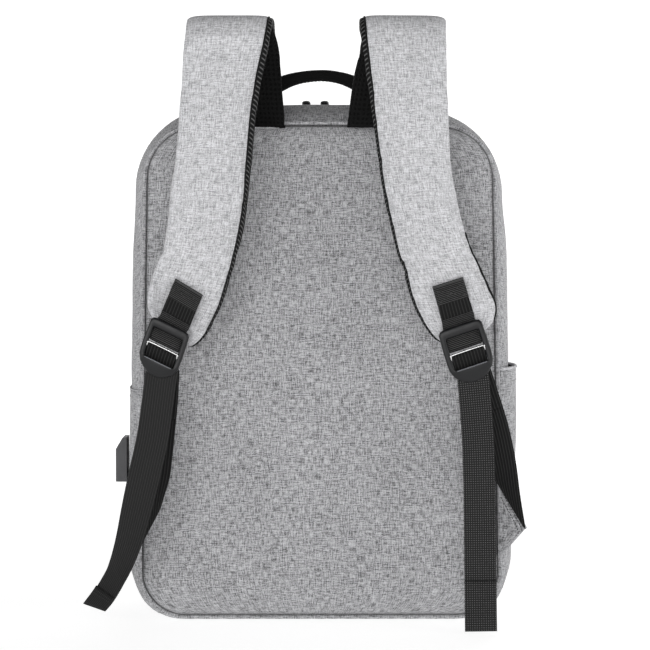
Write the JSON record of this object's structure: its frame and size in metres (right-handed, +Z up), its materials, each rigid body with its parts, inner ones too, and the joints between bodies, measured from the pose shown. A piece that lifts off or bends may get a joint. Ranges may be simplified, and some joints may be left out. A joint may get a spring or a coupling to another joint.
{
  "type": "solar backpack",
  "caption": "Upright rounded day pack with two padded shoulder straps, ladder-lock webbing, grab handle, opening front lid with a solar panel, side pocket and USB outlet.",
  "frame": {"origin": "middle of the flat base the bag stands on", "axes": "+Z up, -Y out of the wearer's side, +Y out of the solar side, +X to the right seen from the wearer's side"},
  "size_m": [0.3524, 0.1919, 0.485],
  "materials": {
    "body_fabric": "heather grey plain weave, matt",
    "strap_fabric": "heather grey plain weave, matt, slightly lighter",
    "lining": "black plain lining",
    "foam": null,
    "air_mesh": "black open air mesh",
    "piping": "dark grey corded piping",
    "webbing": "black ribbed polyester webbing",
    "lock_plastic": "black acetal, satin gloss",
    "usb_plastic": "dark grey moulded plastic",
    "bright_metal": "bright plated wire",
    "socket_metal": "plated sheet",
    "zip_tape": "black woven tape",
    "zip_coil": "black nylon coil",
    "slider_metal": "black enamelled zinc",
    "handle_fabric": "black padded knit",
    "solar_film": "clear laminate on a dark back sheet",
    "solar_cell": "dark blue monocrystalline cell",
    "border_fabric": "black coated frame fabric",
    "grommet_metal": "dark nickel",
    "box_plastic": "black moulded plastic"
  },
  "bodies": {
    "tub": {"back_panel": "body_fabric", "back_foam": "foam", "back_piping": "piping", "gusset_left": "body_fabric", "gusset_right": "body_fabric", "gusset_top": "body_fabric", "base_panel": "body_fabric", "boot_front": "body_fabric", "zip_tape_body": "zip_tape", "zip_coil_body": "zip_coil", "laptop_sleeve": "lining", "side_pocket_right": "body_fabric", "side_pocket_left": "body_fabric", "usb_housing": "usb_plastic", "usb_socket_shell": "socket_metal", "usb_tongue": "box_plastic", "usb_inner_gland": "usb_plastic", "handle_patches": "webbing", "lower_webbing_left": "webbing", "lower_webbing_right": "webbing", "wing_left": "body_fabric", "wing_right": "body_fabric"},
    "lid": {"lid_front_panel": "body_fabric", "lid_gusset_left": "body_fabric", "lid_gusset_right": "body_fabric", "lid_gusset_top": "body_fabric", "zip_tape_lid": "zip_tape", "zip_coil_lid": "zip_coil", "front_pocket": "body_fabric", "pocket_zip": "zip_tape", "solar_laminate": "solar_film", "solar_border": "border_fabric", "solar_cells": "solar_cell", "solar_grommets": "grommet_metal", "junction_box": "box_plastic"},
    "main_slider_left": {"main_slider_left": "slider_metal"},
    "main_slider_right": {"main_slider_right": "slider_metal"},
    "main_pull_left": {"main_pull_left": "slider_metal"},
    "main_pull_right": {"main_pull_right": "slider_metal"},
    "pocket_slider": {"pocket_slider": "slider_metal"},
    "pocket_pull": {"pocket_pull": "slider_metal"},
    "handle": {"handle_grip": "handle_fabric"},
    "strap_left": {"strap_cover_left": "strap_fabric", "strap_foam_left": "foam", "strap_lining_left": "air_mesh", "web_tab_left": "webbing"},
    "lock_left": {"ladder_lock_left": "lock_plastic", "lock_bar_left": "bright_metal", "web_turn_left": "webbing"},
    "tail_left": {"web_tail_left": "webbing"},
    "strap_right": {"strap_cover_right": "strap_fabric", "strap_foam_right": "foam", "strap_lining_right": "air_mesh", "web_tab_right": "webbing"},
    "lock_right": {"ladder_lock_right": "lock_plastic", "lock_bar_right": "bright_metal", "web_turn_right": "webbing"},
    "tail_right": {"web_tail_right": "webbing"}
  },
  "joints": [
    {"name": "lid_hinge", "type": "hinge", "parent": "tub", "child": "lid", "pos_m": [0, 0.062, 0.06], "axis": [-1, 0, 0], "range_deg": [0, 72]},
    {"name": "main_slider_left_slide", "type": "slide", "parent": "tub", "child": "main_slider_left", "axis": [-1, 0, 0], "range_m": [0, 0.085]},
    {"name": "main_slider_right_slide", "type": "slide", "parent": "tub", "child": "main_slider_right", "axis": [1, 0, 0], "range_m": [0, 0.085]},
    {"name": "main_pull_left_lift", "type": "hinge", "parent": "main_slider_left", "child": "main_pull_left", "pos_m": [-0.0115, 0.0216, 0.4241], "axis": [-1, 0, 0], "range_deg": [0, 110]},
    {"name": "main_pull_right_lift", "type": "hinge", "parent": "main_slider_right", "child": "main_pull_right", "pos_m": [0.004, 0.0216, 0.4241], "axis": [-1, 0, 0], "range_deg": [0, 110]},
    {"name": "pocket_slider_slide", "type": "slide", "parent": "lid", "child": "pocket_slider", "axis": [-1, 0, 0], "range_m": [0, 0.184]},
    {"name": "pocket_pull_swing", "type": "hinge", "parent": "pocket_slider", "child": "pocket_pull", "pos_m": [0.092, 0.0725, 0.2005], "axis": [1, 0, 0], "range_deg": [0, 80]},
    {"name": "handle_fold", "type": "hinge", "parent": "tub", "child": "handle", "pos_m": [0, -0.04, 0.4235], "axis": [-1, 0, 0], "range_deg": [-12, 25]},
    {"name": "strap_left_swing", "type": "hinge", "parent": "tub", "child": "strap_left", "pos_m": [-0.058, -0.066, 0.402], "axis": [-1, 0, 0], "range_deg": [0, 12]},
    {"name": "lock_left_tilt", "type": "hinge", "parent": "strap_left", "child": "lock_left", "pos_m": [-0.11548, -0.112, 0.23923], "axis": [-0.9455, 0, 0.3256], "range_deg": [0, 45]},
    {"name": "tail_left_swing", "type": "hinge", "parent": "lock_left", "child": "tail_left", "pos_m": [-0.1254, -0.1105, 0.1976], "axis": [-1, 0, 0], "range_deg": [-8, 25]},
    {"name": "strap_right_swing", "type": "hinge", "parent": "tub", "child": "strap_right", "pos_m": [0.053, -0.066, 0.402], "axis": [-1, 0, 0], "range_deg": [0, 12]},
    {"name": "lock_right_tilt", "type": "hinge", "parent": "strap_right", "child": "lock_right", "pos_m": [0.10942, -0.112, 0.23926], "axis": [-0.9763, 0, -0.2164], "range_deg": [0, 45]},
    {"name": "tail_right_swing", "type": "hinge", "parent": "lock_right", "child": "tail_right", "pos_m": [0.12, -0.1105, 0.1976], "axis": [-1, 0, 0], "range_deg": [-8, 25]}
  ]
}
